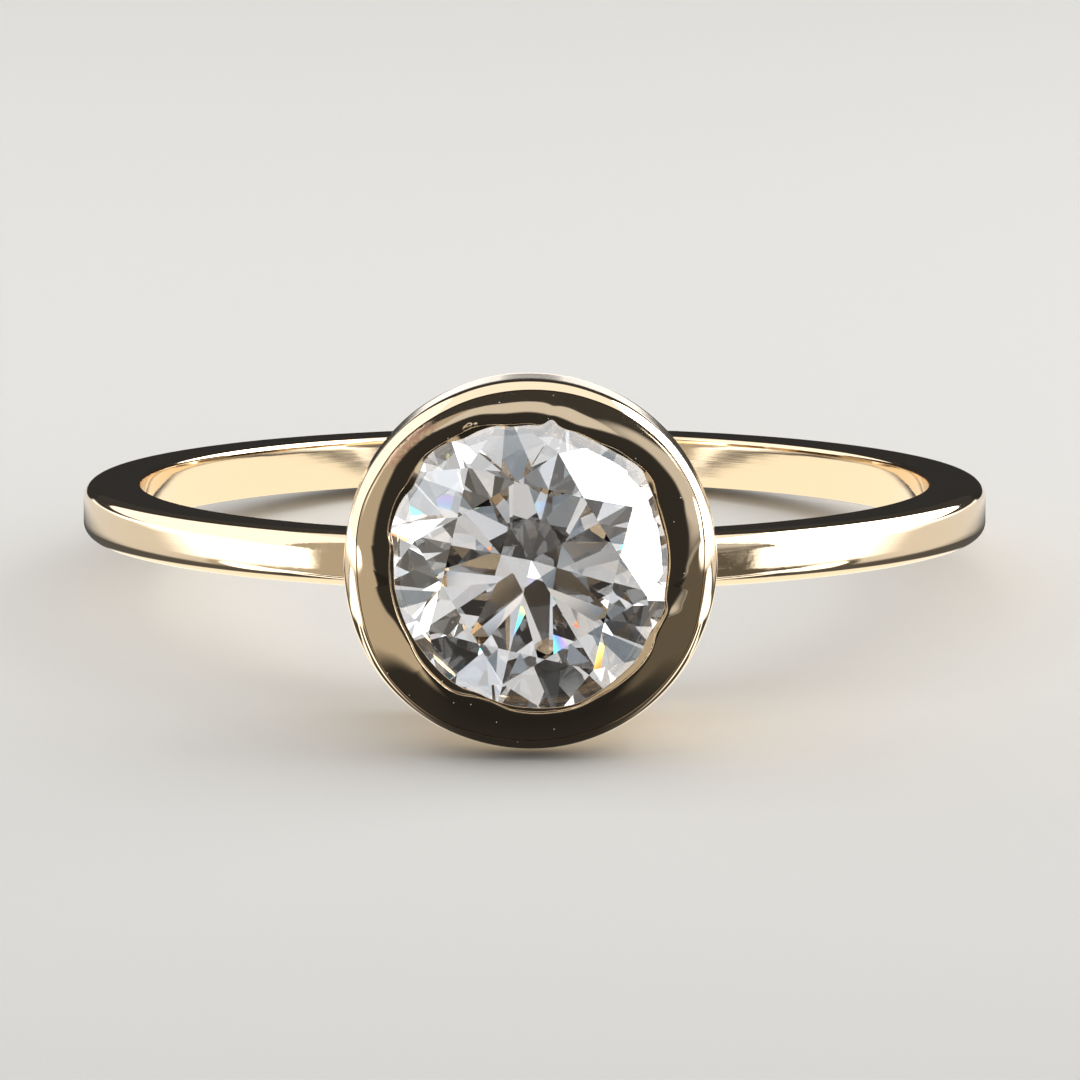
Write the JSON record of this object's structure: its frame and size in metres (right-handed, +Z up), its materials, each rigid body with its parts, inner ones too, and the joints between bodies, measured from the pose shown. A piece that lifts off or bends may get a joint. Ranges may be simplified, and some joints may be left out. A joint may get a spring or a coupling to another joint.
{
  "type": "bezel-set diamond solitaire ring",
  "caption": "Finger ring with a thin plain gold band and a round collared cup whose pushed-over lip holds a round brilliant-cut diamond; it lies on its side.",
  "frame": {"origin": "centre of the footprint, on the surface that the ring lies on", "axes": "the stone looks along -Y and a little up, +X runs across the ring, +Z is up; the finger hole's axis leans 8.45 degrees from +Z towards +Y"},
  "size_m": [0.0198, 0.0228, 0.0079],
  "materials": {
    "gold": "polished",
    "diamond": "polished"
  },
  "bodies": {
    "root": {"band_and_cup": "gold", "diamond": "diamond"}
  },
  "joints": []
}
